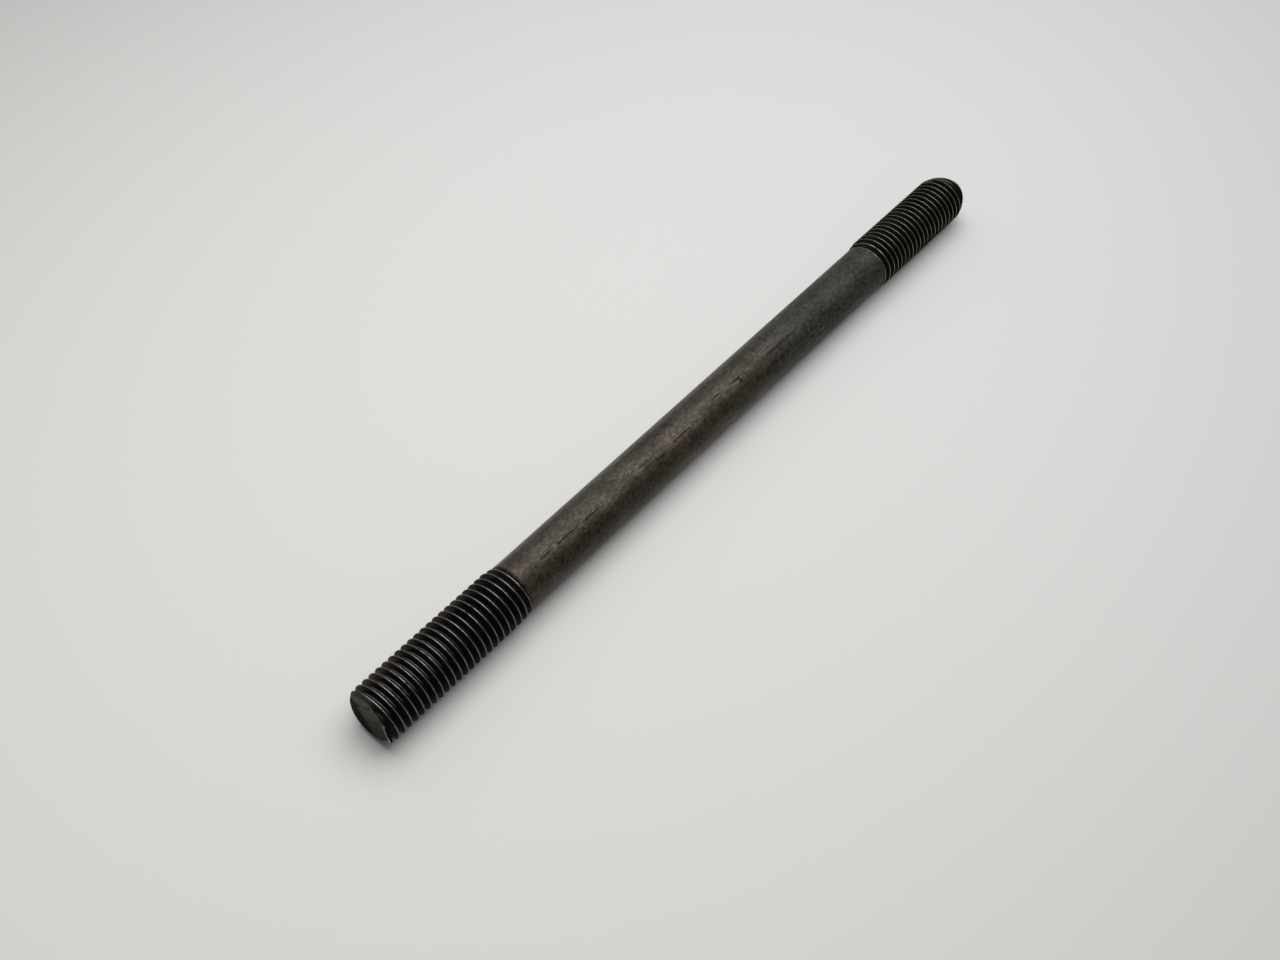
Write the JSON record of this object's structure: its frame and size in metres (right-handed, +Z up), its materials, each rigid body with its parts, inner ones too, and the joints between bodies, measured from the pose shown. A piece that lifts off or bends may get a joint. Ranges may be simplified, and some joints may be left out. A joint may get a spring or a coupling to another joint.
{
  "type": "threaded rod",
  "caption": "Steel rod with a right-hand screw thread rolled on each end and a plain, slightly thinner shank between, one end cut off and the other rounded.",
  "frame": {"origin": "on the plane that the rod lies on, under the middle of its length", "axes": "+X along the rod from the cut end to the rounded end, +Z up from the plane that it lies on"},
  "size_m": [0.311, 0.019, 0.0188],
  "materials": {
    "blackened_steel": "oiled black oxide and mill scale, worn bright on the thread crests, with a little rust"
  },
  "bodies": {
    "root": {"stud": "blackened_steel"}
  },
  "joints": []
}
